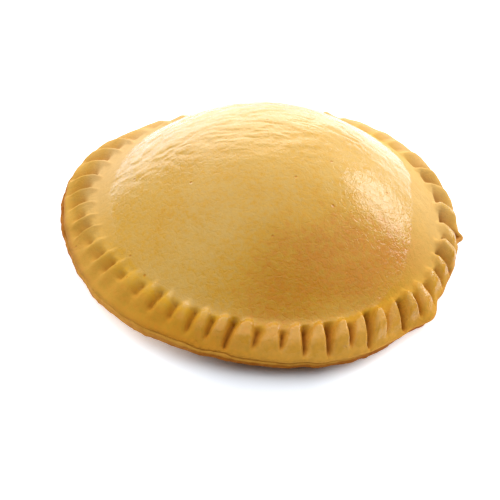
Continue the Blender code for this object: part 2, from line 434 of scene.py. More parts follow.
class RingMesh:
    """Collects rings of points, joins each to the one before and closes both ends."""

    def __init__(self) -> None:
        """Start with nothing."""
        self.points: list[Array] = []
        self.faces: list[tuple[int, ...]] = []
        self.values: dict[str, list[Array]] = {}
        self.total = 0
        self.last: list[int] = []

    def add_points(self, points: Array, values: dict[str, Array | float]) -> list[int]:
        """Add points with their values.

        Args:
            points: One row of x, y and z for each point.
            values: Attributes by name, for each point or for all of them.

        Returns:
            The numbers of the new points.
        """
        numbers = list(range(self.total, self.total + len(points)))
        self.points.append(points)
        for name, value in values.items():
            self.values.setdefault(name, []).append(np.broadcast_to(value, len(points)))
        self.total += len(points)
        return numbers

    def add_ring(self, points: Array, **values: Array | float) -> None:
        """Add a ring and join it to the last one.

        Args:
            points: The ring's points in order; one ring may have a multiple of the other's points.
            values: The points' attributes by name.
        """
        numbers = self.add_points(points, values)
        if len(self.last) == 1:
            self.fan(numbers, self.last[0])
        elif self.last:
            self.bridge(self.last, numbers)
        self.last = numbers

    def bridge(self, first: list[int], second: list[int]) -> None:
        """Join two rings, with fans where one has several times the points of the other.

        Args:
            first: Numbers of one ring's points, in order.
            second: Numbers of the other ring's points, in order.
        """
        larger, smaller = (first, second) if len(first) >= len(second) else (second, first)
        ratio = len(larger) // len(smaller)
        for index, near in enumerate(smaller):
            following = smaller[(index + 1) % len(smaller)]
            fan = [larger[(index * ratio + step) % len(larger)] for step in range(ratio + 1)]
            if ratio == 1:
                self.faces.append((fan[0], fan[1], following, near))
                continue
            middle = ratio // 2
            for step in range(ratio):
                self.faces.append((fan[step], fan[step + 1], near if step < middle else following))
            self.faces.append((fan[middle], following, near))

    def add_cap(self, centre: tuple[float, float, float], **values: float) -> None:
        """Start the mesh from one point, or close the last ring with a fan round one point.

        Args:
            centre: The point's place.
            values: The point's attributes by name.
        """
        middle = self.add_points(np.array([centre]), values)
        if self.last:
            self.fan(self.last, middle[0])
        self.last = middle

    def fan(self, edge: list[int], middle: int) -> None:
        """Join every side of a ring to one point."""
        for index, number in enumerate(edge):
            self.faces.append((number, edge[(index + 1) % len(edge)], middle))

    def build(self, name: str) -> bpy.types.Object:
        """Make the object, smooth and facing outwards, with its values as point attributes.

        Args:
            name: The name of the object and of its mesh.

        Returns:
            The object, linked to the scene.
        """
        data = bpy.data.meshes.new(name)
        data.from_pydata(np.concatenate(self.points).tolist(), [], self.faces)
        shape = bmesh.new()
        shape.from_mesh(data)
        bmesh.ops.recalc_face_normals(shape, faces=shape.faces)
        shape.to_mesh(data)
        shape.free()
        data.shade_smooth()
        for value_name, parts in self.values.items():
            attribute = data.attributes.new(value_name, "FLOAT", "POINT")
            attribute.data.foreach_set("value", np.concatenate(parts).astype(np.float32))
        return new_object(name, data)


# ---- Relief by Geometry Nodes --------------------------------------------------------------
class CrimpInput(Enum):
    """The named inputs of the crimps' tree, with the value that this pie has."""

    VARIATION = ("Crimp Variation", 0.48)
    START_VARIATION = ("Start Variation", 1.1)
    BROAD_FROM = ("Full Width From", 0.45)
    TAPER_FROM = ("Taper From", 0.25)
    ENDING_FROM = ("Groove Ending From", 0.72)
    ENDED_AT = ("Groove Ended At", 1.05)
    SWELL = ("Lobe Swell", 0.46)
    LEAST_LOBE = ("Least Lobe Height", 0.5)
    LOBE_POINT = ("Lobe Point", -1.7)
    SHADE = ("Shade per Metre", 290.0)
    SHADE_POWER = ("Shade Power", 1.5)
    CREST_POWER = ("Crest Power", 5.0)


class SkinInput(Enum):
    """The named inputs of the baked skin's tree, with the value that this pie has."""

    LUMP_SIZE = ("Lump Size", 0.021)
    LUMP_HEIGHT = ("Lump Height", 0.0006)
    WRINKLE_SIZE = ("Wrinkle Size", 0.0045)
    WRINKLE_HEIGHT = ("Wrinkle Height", 0.00054)
    CREASE_STEEPNESS = ("Crease Steepness", 11.0)
    WAVE_SHARE = ("Wave Share", 1.6)
    CRACKLE_SIZE = ("Crackle Size", 0.0034)
    CRACKLE_HEIGHT = ("Crackle Height", 0.00042)


class TearInput(Enum):
    """The named inputs of the torn edge's tree, with the value that this pie has."""

    SIZE = ("Tear Size", 0.0035)
    HEIGHT = ("Tear Height", 0.0008)


class ReliefTree:
    """A Geometry Nodes tree that moves a crust's points, and the modifier that carries it."""

    def __init__(self, name: str, inputs: type[Enum], seed: int) -> None:
        """Make the tree with its geometry sockets and its named inputs.

        Args:
            name: The tree's name.
            inputs: The named inputs and their values.
            seed: Seed for everything random in the tree.
        """
        self.tree = bpy.data.node_groups.new(name, "GeometryNodeTree")
        self.inputs = inputs
        self.seed = seed
        face = self.tree.interface
        face.new_socket("Geometry", in_out="INPUT", socket_type="NodeSocketGeometry")
        for item in inputs:
            face.new_socket(item.value[0], in_out="INPUT", socket_type="NodeSocketFloat")
        face.new_socket("Geometry", in_out="OUTPUT", socket_type="NodeSocketGeometry")
        self.start = self.tree.nodes.new("NodeGroupInput")
        self.shape = self.start.outputs["Geometry"]

    def known(self, *attributes: str) -> dict[str, Value]:
        """Name what the tree works with, ready for add_steps.

        Args:
            attributes: Names of the mesh's point attributes.

        Returns:
            Sockets of the named inputs and of the attributes, by name.
        """
        values = {item.name: self.start.outputs[item.value[0]] for item in self.inputs}
        for name in attributes:
            values[name] = add_node(self.tree, "GeometryNodeInputNamedAttribute",
                                    {"data_type": "FLOAT"}, {"Name": name}).outputs["Attribute"]
        return values

    def noise(self, size: Value, detail: float, w: float,
              stretch: tuple[float, float, float] = (1.0, 1.0, 1.0)) -> bpy.types.NodeSocket:
        """Spread noise over the surface.

        Args:
            size: Size of the noise's features in metres.
            detail: Octaves of finer noise on top.
            w: Picks the pattern.
            stretch: Factors on the place along each axis; features are longer where it is below 1.

        Returns:
            The noise, from 0 to 1.
        """
        place = add_node(self.tree, "GeometryNodeInputPosition").outputs[0]
        spread = add_node(self.tree, "ShaderNodeVectorMath", {"operation": "MULTIPLY"},
                          {0: place, 1: stretch})
        scale = add_node(self.tree, "ShaderNodeMath", {"operation": "DIVIDE"}, {0: 1.0, 1: size})
        inputs = {"Vector": spread.outputs[0], "W": w + self.seed, "Scale": scale.outputs[0],
                  "Detail": detail}
        return add_node(self.tree, "ShaderNodeTexNoise", {"noise_dimensions": "4D"}, inputs).outputs[0]

    def chance(self, number: bpy.types.NodeSocket) -> bpy.types.NodeSocket:
        """A random number from 0 to 1 that belongs to this whole number."""
        inputs = {"ID": number, "Seed": self.seed}
        return add_node(self.tree, "FunctionNodeRandomValue", {"data_type": "FLOAT"}, inputs).outputs[1]

    def store(self, name: str, value: bpy.types.NodeSocket) -> None:
        """Keep a value on the points for the material.

        Args:
            name: The attribute's name.
            value: The value.
        """
        node = add_node(self.tree, "GeometryNodeStoreNamedAttribute", {"data_type": "FLOAT"},
                        {"Geometry": self.shape, "Name": name, "Value": value})
        self.shape = node.outputs[0]

    def finish(self, lift: bpy.types.NodeSocket, material: bpy.types.Material) -> None:
        """Move the points outwards along the surface's normal, and end the tree.

        Args:
            lift: How far each point moves.
            material: The finish of the crust.
        """
        normal = add_node(self.tree, "GeometryNodeInputNormal").outputs[0]
        offset = add_node(self.tree, "ShaderNodeVectorMath", {"operation": "SCALE"},
                          {0: normal, "Scale": lift})
        moved = add_node(self.tree, "GeometryNodeSetPosition", {},
                         {"Geometry": self.shape, "Offset": offset.outputs[0]})
        realised = add_node(self.tree, "GeometryNodeRealizeInstances", {}, {"Geometry": moved.outputs[0]})
        dressed = add_node(self.tree, "GeometryNodeSetMaterial", {},
                           {"Geometry": realised.outputs[0], "Material": material})
        add_node(self.tree, "NodeGroupOutput", {}, {"Geometry": dressed.outputs[0]})

    def apply(self, piece: bpy.types.Object) -> None:
        """Run the tree on the piece, and keep the result as its plain mesh.

        Args:
            piece: The crust, with the attributes that the tree reads.
        """
        modifier = piece.modifiers.new(self.tree.name, "NODES")
        modifier.node_group = self.tree
        sockets = {item.name: item.identifier for item in self.tree.interface.items_tree
                   if item.in_out == "INPUT"}
        for item in self.inputs:
            modifier[sockets[item.value[0]]] = item.value[1]
        evaluated = piece.evaluated_get(bpy.context.evaluated_depsgraph_get())
        result = bpy.data.meshes.new_from_object(evaluated)
        piece.modifiers.remove(modifier)
        before = piece.data
        piece.data = result
        bpy.data.meshes.remove(before)
        result.name = piece.name


def crimp_tree(material: bpy.types.Material, count: int) -> ReliefTree:
    """Press V-shaped grooves between swollen, almond-shaped lobes, each a little different.

    Args:
        material: The crust's finish.
        count: Crimps round the pie, from which the grooves have their numbers.

    Returns:
        The tree. It also stores the painted shade of a groove, darker where it is pressed deeper,
        and how far up a crest a point lies.
    """
    relief = ReliefTree("crimps", CrimpInput, seed=11)
    known = relief.known("phase", "along", "inner", "depth", "crest", "narrowness", "pinch", "taper",
                         "peak", "fade", "lobed", "rounded")
    # Profile is 0 on the crest of a lobe and 1 at the bottom of the grooves beside it.
    values = add_steps(relief.tree, known, (
        ("nearest", "ROUND", "phase"),
        ("groove_number", "FLOORED_MODULO", "nearest", float(count)),
        ("lobe_number", "FLOOR", "phase"),
        ("cell", "FRACT", "phase"),
        ("before", "SUBTRACT", "peak", "cell"),
        ("before_share", "DIVIDE", "before", "peak"),
        ("beyond", "SUBTRACT", "cell", "peak"),
        ("rest", "SUBTRACT", 1.0, "peak"),
        ("beyond_share", "DIVIDE", "beyond", "rest"),
        ("away", "MAXIMUM", "before_share", "beyond_share"),
        ("away_squared", "MULTIPLY", "away", "away"),
        ("crest_squared", "MULTIPLY", "crest", "crest"),
        ("sum_here", "ADD", "away_squared", "crest_squared"),
        ("root_here", "SQRT", "sum_here"),
        ("fall_here", "SUBTRACT", "root_here", "crest"),
        ("sum_full", "ADD", "crest_squared", 1.0),
        ("root_full", "SQRT", "sum_full"),
        ("fall_full", "SUBTRACT", "root_full", "crest"),
        ("profile", "DIVIDE", "fall_here", "fall_full"),
    ))
    values["groove_chance"] = relief.chance(values["groove_number"])
    values["lobe_chance"] = relief.chance(values["lobe_number"])
    values = add_steps(relief.tree, values, (
        # Where this groove starts, narrows and ends, and where its lobe comes to a point.
        ("half", "SUBTRACT", "groove_chance", 0.5),
        ("stretch", "MULTIPLY_ADD", "half", "VARIATION", 1.0),
        ("reached", "DIVIDE", "along", "stretch"),
        ("started", "MULTIPLY_ADD", "half", "START_VARIATION", "inner"),
        ("risen", "MULTIPLY_ADD", "away_squared", "LOBE_POINT", "lobed"),
        ("wall", "SMOOTHSTEP", "started", 0.0, 1.0),
        ("fattened", "SMOOTHSTEP", "along", 0.0, "BROAD_FROM"),
        ("ended", "SMOOTHSTEP", "reached", "ENDING_FROM", "ENDED_AT"),
        ("tapered", "SMOOTHSTEP", "reached", "TAPER_FROM", 1.0),
        ("pointed", "SMOOTHSTEP", "risen", 0.0, 1.0),
        # The groove.
        ("inner_power", "ADD", "narrowness", "pinch"),
        ("more", "SUBTRACT", "narrowness", "inner_power"),
        ("inside", "MULTIPLY_ADD", "fattened", "more", "inner_power"),
        ("power", "MULTIPLY_ADD", "tapered", "taper", "inside"),
        ("dip", "POWER", "profile", "power"),
        ("faded", "MULTIPLY", "reached", "fade"),
        ("kept", "SUBTRACT", 1.0, "faded"),
        ("open", "SUBTRACT", 1.0, "ended"),
        ("walled", "MULTIPLY", "kept", "wall"),
        ("channel", "MULTIPLY", "walled", "open"),
        ("pressed", "MULTIPLY", "dip", "channel"),
        ("drop", "MULTIPLY", "pressed", "stretch"),
        # The swollen lobe.
        ("lobe", "SUBTRACT", 1.0, "dip"),
        ("lobe_squared", "MULTIPLY", "lobe", "lobe"),
        ("lobe_height", "ADD", "lobe_chance", "LEAST_LOBE"),
        ("plump", "MULTIPLY", "lobe_squared", "lobe_height"),
        ("swell", "MULTIPLY", "plump", "SWELL"),
        ("swell_inside", "MULTIPLY", "swell", "pointed"),
        ("swell_here", "MULTIPLY", "swell_inside", "rounded"),
        ("share", "SUBTRACT", "swell_here", "drop"),
        ("lift", "MULTIPLY", "share", "depth"),
        # What the material needs to know: the painted shade of the grooves, darker where they are pressed
        # deeper, and the crests.
        ("pressed_more", "POWER", "pressed", "SHADE_POWER"),
        ("deep", "MULTIPLY", "depth", "SHADE"),
        ("groove_shade", "MULTIPLY", "pressed_more", "deep"),
        ("crest_line", "POWER", "lobe", "CREST_POWER"),
        ("crest_inside", "MULTIPLY", "crest_line", "pointed"),
        ("crested", "MULTIPLY", "crest_inside", "rounded"),
        ("crested_here", "MULTIPLY", "crested", "deep"),
    ))
    relief.store("groove", values["groove_shade"])
    relief.store("crested", values["crested_here"])
    relief.finish(values["lift"], material)
    return relief


def skin_tree(material: bpy.types.Material) -> ReliefTree:
    """Give the dome its low lumps and its wrinkled, crackled glaze.

    Args:
        material: The crust's finish.

    Returns:
        The tree.
    """
    relief = ReliefTree("baked_skin", SkinInput, seed=5)
    known = relief.known("lumpy", "wrinkled", "crackled")
    # Folds and waves run from side to side, as they do on the pie.
    fold_stretch, wave_stretch = (0.30, 1.0, 1.0), (0.45, 0.8, 0.8)
    known["lumps"] = relief.noise(known["LUMP_SIZE"], detail=1.0, w=0.0)
    known["patches"] = relief.noise(known["LUMP_SIZE"], detail=2.0, w=7.0)
    known["wrinkle"] = relief.noise(known["WRINKLE_SIZE"], detail=2.0, w=3.0, stretch=fold_stretch)
    known["swells"] = relief.noise(known["WRINKLE_SIZE"], detail=1.0, w=13.0, stretch=wave_stretch)
    known["cracks"] = relief.noise(known["CRACKLE_SIZE"], detail=2.0, w=21.0)
    values = add_steps(relief.tree, known, (
        ("lump", "SUBTRACT", "lumps", 0.5),
        ("lump_share", "MULTIPLY", "lump", "lumpy"),
        ("lump_lift", "MULTIPLY", "lump_share", "LUMP_HEIGHT"),
        ("fold", "SUBTRACT", "wrinkle", 0.5),
        ("ridge", "ABSOLUTE", "fold"),
        ("bank", "MULTIPLY", "ridge", "CREASE_STEEPNESS"),
        ("level", "MINIMUM", "bank", 1.0),
        ("crease", "SUBTRACT", "level", 1.0),
        ("patchy", "MULTIPLY", "crease", "patches"),
        ("wavy", "MULTIPLY_ADD", "swells", "WAVE_SHARE", "patchy"),
        ("wrinkle_share", "MULTIPLY", "wavy", "wrinkled"),
        ("wrinkle_lift", "MULTIPLY_ADD", "wrinkle_share", "WRINKLE_HEIGHT", "lump_lift"),
        ("crackle", "SUBTRACT", "cracks", 0.5),
        ("crackle_share", "MULTIPLY", "crackle", "crackled"),
        ("lift", "MULTIPLY_ADD", "crackle_share", "CRACKLE_HEIGHT", "wrinkle_lift"),
    ))
    relief.finish(values["lift"], material)
    return relief


def tear_tree(material: bpy.types.Material) -> ReliefTree:
    """Roughen the torn edge of the base crust.

    Args:
        material: The crust's finish.

    Returns:
        The tree.
    """
    relief = ReliefTree("torn_edge", TearInput, seed=23)
    known = relief.known("torn")
    known["grain"] = relief.noise(known["SIZE"], detail=3.0, w=0.0)
    values = add_steps(relief.tree, known, (
        ("uneven", "MULTIPLY_ADD", "grain", 2.0, -1.0),
        ("share", "MULTIPLY", "uneven", "torn"),
        ("lift", "MULTIPLY", "share", "HEIGHT"),
    ))
    relief.finish(values["lift"], material)
    return relief


# ---- Finishes ------------------------------------------------------------------------------
@dataclass(frozen=True)
class GlazedShortcrust:
    """Shortcrust pastry brushed with beaten egg and baked.

    The egg dries to a thin glossy skin, gold over the dough and browner where it lies thick, with
    fine crackle and a few burst bubbles. Where the brush missed, on the shoulder beside the
    crimps, the dough stays pale and matte, and the rolled rim at the front is an even light brown.
    """

    # Bare dough, the skin from least to most browned, the painted shade in the grooves and the rolled
    # rim.
    dough: str = "D2AC70"
    honey: str = "CCA147"
    gold: str = "C6921D"
    brown: str = "BA780E"
    groove: str = "9A5006"
    rolled: str = "D29A3C"
    # How much the finer octaves show in the noises.
    noise_roughness: float = 0.6
    # Real sizes: patches and flecks of browning, the glaze's ragged border, grain, cracks and
    # bubbles. The cracks are bent, and a crack and a bubble are these shares of their spacing. The
    # grain of the dough is finer than this, and is drawn as coarse as it needs to show.
    patch_size: float = 0.016
    fleck_size: float = 0.0018
    ragged_size: float = 0.006
    grain_size: float = 0.0010
    crack_spacing: float = 0.0034
    crack_bend: float = 0.0028
    crack_span: Span = (0.0, 0.12)
    bubble_spacing: float = 0.0060
    bubble_span: Span = (0.12, 0.03)
    bubble_chance: float = 0.45
    # How strongly each pattern changes the browning or the tone.
    patch_browning: float = 0.8
    fleck_browning: float = 1.5
    bubble_browning: float = 0.9
    dull_browning: float = 0.5
    fleck_tone: float = 0.18
    browned_fleck_tone: float = 0.42
    # Share of the painted shade in the grooves that shows.
    groove_shade_share: float = 0.95
    # The glaze: its ragged border, the coat on the crests, and the amount that counts as glazed.
    raggedness: float = 0.6
    crest_coat: float = 0.42
    glazed_span: Span = (0.36, 0.64)
    # The fine relief: cracks and burst bubbles as shares of the grain, and its height.
    crack_depth: float = 0.55
    bubble_depth: float = -1.2
    relief_height: float = 0.00012
    # Roughness and gloss, for bare dough and then for glaze.
    roughness: Span = (0.75, 0.12)
    gloss: Span = (0.12, 0.38)
    ior: float = 1.5

    def patterns(self, tree: bpy.types.NodeTree) -> dict[str, Value]:
        """Add the patterns of the skin and read the crust's attributes.

        Args:
            tree: The material's nodes.

        Returns:
            Sockets of the patterns and of the attributes, by name.
        """
        place = add_node(tree, "ShaderNodeTexCoord").outputs["Object"]
        known = {name: add_node(tree, "ShaderNodeAttribute", {"attribute_name": name}).outputs["Fac"]
                 for name in ("glaze", "pale", "browned", "groove", "crested", "rolled", "painted_shade")}
        noises = {name: add_node(tree, "ShaderNodeTexNoise", {},
                                 {"Vector": place, "Scale": 1.0 / size, "Detail": detail,
                                  "Roughness": self.noise_roughness})
                  for name, size, detail in (("patches", self.patch_size, 3.0),
                                             ("flecks", self.fleck_size, 3.0),
                                             ("ragged", self.ragged_size, 3.0),
                                             ("grain", self.grain_size, 2.0))}
        bubbles = add_node(tree, "ShaderNodeTexVoronoi", {"feature": "F1"},
                           {"Vector": place, "Scale": 1.0 / self.bubble_spacing})
        picked = add_node(tree, "ShaderNodeSeparateColor", {}, {0: bubbles.outputs["Color"]})
        bent = add_node(tree, "ShaderNodeVectorMath", {"operation": "MULTIPLY_ADD"},
                        {0: noises["flecks"].outputs["Color"], 1: (self.crack_bend,) * 3, 2: place})
        cracks = add_node(tree, "ShaderNodeTexVoronoi", {"feature": "DISTANCE_TO_EDGE"},
                          {"Vector": bent.outputs[0], "Scale": 1.0 / self.crack_spacing})
        return known | {name: noise.outputs[0] for name, noise in noises.items()} | {
            "off_bubble": bubbles.outputs["Distance"],
            "chance": picked.outputs[0],
            "off_crack": cracks.outputs["Distance"],
        }

    def build(self) -> bpy.types.Material:
        """Make the material.

        Returns:
            The material, which reads the attributes of the lid's points.
        """
        material, tree, shader = new_material("glazed_shortcrust")
        values = add_steps(tree, self.patterns(tree), (
            ("burst", "SMOOTHSTEP", "off_bubble", *self.bubble_span),
            ("chosen", "GREATER_THAN", "chance", 1.0 - self.bubble_chance),
            ("bubble", "MULTIPLY", "burst", "chosen"),
            ("unbroken", "SMOOTHSTEP", "off_crack", *self.crack_span),
            # How much glaze there is.
            ("uneven", "MULTIPLY_ADD", "ragged", self.raggedness, -0.5 * self.raggedness),
            ("coated", "MULTIPLY_ADD", "crested", self.crest_coat, "glaze"),
            ("brushed", "ADD", "coated", "uneven"),
            ("glazed", "SMOOTHSTEP", "brushed", *self.glazed_span),
            # How far the skin is browned.
            ("patchy", "MULTIPLY_ADD", "patches", self.patch_browning, -0.5 * self.patch_browning),
            ("flecky", "MULTIPLY_ADD", "flecks", self.fleck_browning, -0.5 * self.fleck_browning),
            ("speckled", "ADD", "patchy", "flecky"),
            ("shine", "MULTIPLY_ADD", "glaze", 1.0 - self.dull_browning, self.dull_browning),
            ("mottled", "MULTIPLY", "speckled", "shine"),
            ("bubbly", "MULTIPLY_ADD", "bubble", self.bubble_browning, "mottled"),
            ("baked", "ADD", "bubbly", "browned"),
            # The fine relief.
            ("cracked", "MULTIPLY", "unbroken", "patches"),
            ("crackle", "MULTIPLY_ADD", "cracked", self.crack_depth, "grain"),
            ("height", "MULTIPLY_ADD", "bubble", self.bubble_depth, "crackle"),
            # The painted shade of the grooves, and the tone from the flecks and from the painted shade on
            # the left.
            ("groove_shade_share", "MULTIPLY", "groove", self.groove_shade_share),
            ("fleck_share", "MULTIPLY_ADD", "browned", self.browned_fleck_tone, self.fleck_tone),
            ("fleck", "SUBTRACT", "flecks", 0.5),
            ("mottle", "MULTIPLY_ADD", "fleck", "fleck_share", 1.0),
            ("unshaded", "SUBTRACT", 1.0, "painted_shade"),
            ("tone", "MULTIPLY", "mottle", "unshaded"),
        ))
        skin = add_node(tree, "ShaderNodeValToRGB", {}, {"Fac": values["baked"]})
        ramp = skin.color_ramp
        ramp.elements[0].color = colour(self.honey)
        ramp.elements[1].color = colour(self.brown)
        ramp.elements.new(0.5).color = colour(self.gold)
        # Each layer lies over the one before, by the share that its attribute or value gives.
        layer = skin.outputs[0]
        for share, over in (("pale", colour(self.dough)), ("glazed", skin.outputs[0]),
                            ("rolled", colour(self.rolled)), ("groove_shade_share", colour(self.groove))):
            layer = add_node(tree, "ShaderNodeMix", {"data_type": "RGBA"},
                             {"Factor": values[share], MIX_UNDER: layer,
                              MIX_OVER: over}).outputs[MIX_RESULT]
        toned = add_node(tree, "ShaderNodeVectorMath", {"operation": "SCALE"},
                         {0: layer, "Scale": values["tone"]})
        relief = add_node(tree, "ShaderNodeBump", {},
                          {"Height": values["height"], "Distance": self.relief_height, "Strength": 1.0})
        rough, gloss = (add_node(tree, "ShaderNodeMapRange", {},
                                 {"Value": values["glazed"], "To Min": bare, "To Max": glazed})
                        for bare, glazed in (self.roughness, self.gloss))
        set_inputs(tree, shader, {"Base Color": toned.outputs[0], "Normal": relief.outputs[0],
                                  "Roughness": rough.outputs[0], "IOR": self.ior,
                                  "Specular IOR Level": gloss.outputs[0]})
        return material


@dataclass(frozen=True)
class BakedShortcrust:
    """Unglazed shortcrust at the edge of the base: matte, and browned where it was torn thin."""

    # The browning towards the edge's foot and at the left is partly painted shade.
    golden: str = "C28B33"
    brown: str = "9C580A"
    # The crumbs of the torn edge, drawn a little coarser than they are so that they show.
    grain_size: float = 0.0022
    grain_detail: float = 4.0
    grain_height: float = 0.0003
    grain_strength: float = 0.6
    roughness: float = 0.75
    gloss: float = 0.10

    def build(self) -> bpy.types.Material:
        """Make the material.

        Returns:
            The material, which reads how far the crust's points are browned, painted shade included.
        """
        material, tree, shader = new_material("baked_shortcrust")
        place = add_node(tree, "ShaderNodeTexCoord").outputs["Object"]
        browned = add_node(tree, "ShaderNodeAttribute", {"attribute_name": "browned"}).outputs["Fac"]
        grain = add_node(tree, "ShaderNodeTexNoise", {},
                         {"Vector": place, "Scale": 1.0 / self.grain_size,
                          "Detail": self.grain_detail}).outputs[0]
        values = add_steps(tree, {"browned": browned, "grain": grain}, (
            ("mottled", "SUBTRACT", "grain", 0.5),
            ("baked", "ADD", "mottled", "browned"),
        ))
        skin = add_node(tree, "ShaderNodeMix", {"data_type": "RGBA"},
                        {"Factor": values["baked"], MIX_UNDER: colour(self.golden),
                         MIX_OVER: colour(self.brown)})
        relief = add_node(tree, "ShaderNodeBump", {},
                          {"Height": grain, "Distance": self.grain_height,
                           "Strength": self.grain_strength})
        set_inputs(tree, shader, {"Base Color": skin.outputs[MIX_RESULT],
                                  "Normal": relief.outputs[0], "Roughness": self.roughness,
                                  "Specular IOR Level": self.gloss})
        return material


# ---- The crusts ----------------------------------------------------------------------------
@dataclass(frozen=True)
class Baking:
    """Where the lid is lumpy, wrinkled, glazed, pale and browned.

    Shares are of the foot's radius. The dome's skin passes into the shoulder and the crimped band
    just outside the foot. Spans give where a thing isn't there yet and where it is there in full.
    Some places have painted shade, painted light or a painted highlight.
    """

    # Where the band passes into the dome, and how much further out that is at the left.
    dome_span: Span = (1.09, 0.98)
    dome_reach: Around = Around(0.0, (0.045, 170.0, 65.0))
    # The relief: wrinkles over the back, less of them to the right, and crackled glaze.
    lump_span: Span = (1.0, 0.88)
    skin_span: Span = (0.99, 0.85)
    back_span: Span = (-0.38, 0.12)
    right: Patch = Patch(Around(0.0, (1.0, 335.0, 75.0)), (0.15, 0.45))
    back_right: Patch = Patch(Around(0.0, (1.0, 35.0, 50.0)), (0.35, 0.65))
    smoothed: float = 0.7
    crackled_crimps: Patch = Patch(Around(0.9, (-0.54, 180.0, 90.0)), (1.02, 1.10))
    # The glaze: the share where it is half thick, the width of its border, and some on the crimps.
    glaze_edge: Around = Around(0.955, (-0.05, 165.0, 60.0), (-0.145, -2.0, 55.0),
                                       (-0.12, 60.0, 50.0), (0.06, 275.0, 62.0))
    glaze_border: Around = Around(0.08, (0.10, 180.0, 90.0))
    glazed_crimps: Patch = Patch(Around(0.0, (0.44, 290.0, 85.0)), (1.0, 1.06))
    # Pale dough on the dome and on the band, by the highest bump, and spots on top on the band. On
    # the back of the band the pale is partly bare dough and partly a painted highlight, and the spot
    # at the back right is a painted highlight.
    pale_dome: Around = Around(0.0, (1.0, 150.0, 80.0), (0.6, 5.0, 65.0))
    pale_band: Around = Around(0.0, (1.0, 92.0, 92.0), (0.32, 2.0, 48.0))
    pale_and_highlight_spots: Around = Around(0.0, (0.22, 194.0, 70.0), (0.3, 36.0, 34.0))
    # Browning: less high up behind, more low down in front, where the middle direction is given
    # and some is lost near the foot, more on the band and the edge, and by patches of the dome. On
    # the edge at the left the extra is partly browning and partly painted shade, the browner patch at
    # the left of the dome is partly browning and partly painted shade, and the paler patch at the
    # front left is partly paler crust and partly painted light.
    browning: float = 0.32
    high: float = -0.30
    high_span: Span = (-0.55, 0.10)
    low: float = 0.62
    low_span: Span = (0.35, 0.85)
    low_middle: float = math.radians(303.0)
    low_loss: float = 0.6
    low_loss_span: Span = (0.84, 1.0)
    browned_band: Around = Around(0.14, (0.22, 232.0, 75.0))
    browned_edge: Around = Around(0.6, (-0.48, 225.0, 45.0), (0.36, 185.0, 40.0))
    lit_patch: Patch = Patch(Around(0.0, (-0.22, 242.0, 34.0)), (0.3, 0.7))
    shaded_patch: Patch = Patch(Around(0.0, (0.10, 172.0, 55.0)), (0.2, 0.5))
    # The even brown of the rolled rim, and painted shade: the same colour a little darker on the left
    # of the band, the dome and the edge, and at the front left of the band.
    rolled: Around = Around(0.0, (0.85, 292.0, 58.0))
    painted_shade_band: Around = Around(0.0, (0.05, 180.0, 58.0), (0.06, 226.0, 45.0))
    painted_shade_dome: Around = Around(0.0, (0.06, 180.0, 90.0))
    painted_shade_patch: Patch = Patch(Around(0.0, (0.05, 172.0, 55.0)), (0.95, 0.85))
    painted_shade_edge: Around = Around(0.0, (0.20, 185.0, 45.0))

    def values(self, angle: Array, share: Array, hold: float) -> dict[str, Array]:
        """Point attributes that the skin's tree and the material follow.

        Args:
            angle: Angle of each point.
            share: Radius of each point as a share of the foot's.
            hold: Share of its strength that the relief keeps on this ring.

        Returns:
            The attributes by name.
        """
        reach = self.dome_reach.at(angle)
        dome = smooth_step(self.dome_span[0] + reach, self.dome_span[1] + reach, share)
        band = 1.0 - dome
        edge = 1.0 - hold
        behind = np.sin(angle) * share
        in_front = np.cos(angle - self.low_middle) * share
        skin = smooth_step(*self.skin_span, share)
        right = self.right.at(angle, share)
        smoothed = self.smoothed * np.maximum(right, self.back_right.at(angle, share))
        glaze = 0.5 + (self.glaze_edge.at(angle) - share) / self.glaze_border.at(angle)
        low = 1.0 - self.low_loss * smooth_step(*self.low_loss_span, share)
        patches = self.lit_patch.at(angle, share) + self.shaded_patch.at(angle, share)
        painted_shade_dome = self.painted_shade_dome.at(angle) * dome + self.painted_shade_patch.at(angle, share)
        return {
            "lumpy": smooth_step(*self.lump_span, share),
            "wrinkled": smooth_step(*self.back_span, behind) * (1.0 - smoothed) * skin,
            "crackled": right * skin + self.crackled_crimps.at(angle, share) * hold,
            "glaze": np.clip(glaze, 0.0, 1.0) + self.glazed_crimps.at(angle, share) * hold,
            "pale": (self.pale_dome.highest(angle) * dome
                     + (self.pale_band.highest(angle) + self.pale_and_highlight_spots.at(angle)) * band),
            "browned": (self.browning + self.high * smooth_step(*self.high_span, behind) * dome
                        + self.low * smooth_step(*self.low_span, in_front) * low
                        + self.browned_band.at(angle) * band + self.browned_edge.at(angle) * edge
                        + patches * dome),
            "rolled": self.rolled.at(angle) * band,
            "painted_shade": (self.painted_shade_band.at(angle) * band + painted_shade_dome * share
                        + self.painted_shade_edge.at(angle) * edge),
        }


@dataclass(frozen=True)
class Crust:
    """What both crusts share: rim, crimps, and the two rings inside the seam between them.

    Up to the flat share of the outline the base crust lies flat, as thick as its dough. From the
    risen share on the crusts meet at the seam's level. The gap is the height of this crust's side
    of the seam over the seam's middle.
    """

    rim: Rim
    crimps: Crimps
    dough: float = 0.003
    gap: float = 0.0
    flat_share: float = 0.74
    risen_share: float = 0.90
    # The mesh: columns for each crimp, and one column in so many on the rings that need few.
    per_crimp: int = 16
    fine: int = 2
    coarse: int = 8

    def flat_point(self, angle: Array) -> tuple[Array, float]:
        """Radius and height where the flat middle between the crusts ends."""
        return self.flat_share * self.rim.outline(angle), self.dough + self.gap

    def risen_point(self, angle: Array) -> tuple[Array, Array]:
        """Radius and height where the seam between the crusts becomes level with the rim's."""
        return self.risen_share * self.rim.outline(angle), self.rim.seam(angle) + self.gap


